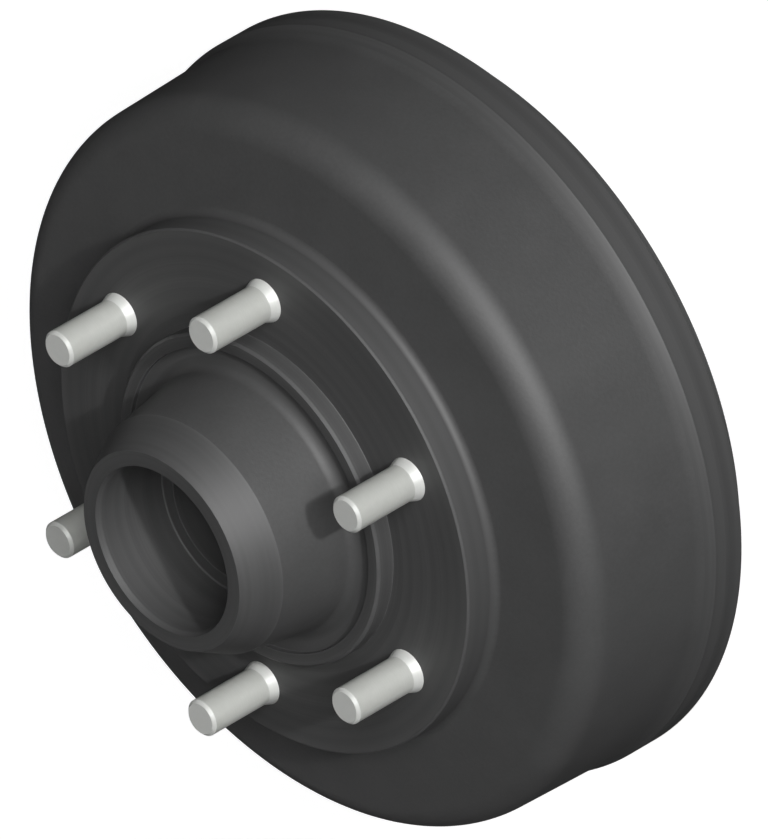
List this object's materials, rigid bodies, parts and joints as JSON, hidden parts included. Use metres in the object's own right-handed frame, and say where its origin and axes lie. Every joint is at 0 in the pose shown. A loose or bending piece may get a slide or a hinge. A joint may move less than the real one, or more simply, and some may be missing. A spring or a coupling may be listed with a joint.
{
  "type": "brake drum",
  "caption": "Brake drum cast in one with its wheel hub: banded barrel, wheel flange with spigot and pressed wheel studs, and a tapered nose with stepped bearing bores.",
  "frame": {"origin": "centre of the drum's open end, on its axis, in the plane that the lip rests on", "axes": "+Z along the axis from the open end to the hub's nose, +Y through wheel_stud_2"},
  "size_m": [0.246, 0.246, 0.1282],
  "materials": {
    "cast_body": "dark satin, cast and turned",
    "stud_steel": "pale satin plated steel"
  },
  "bodies": {
    "root": {"hub_drum": "cast_body", "wheel_stud_1": "stud_steel", "wheel_stud_2": "stud_steel", "wheel_stud_3": "stud_steel", "wheel_stud_4": "stud_steel", "wheel_stud_5": "stud_steel", "wheel_stud_6": "stud_steel"}
  },
  "joints": []
}
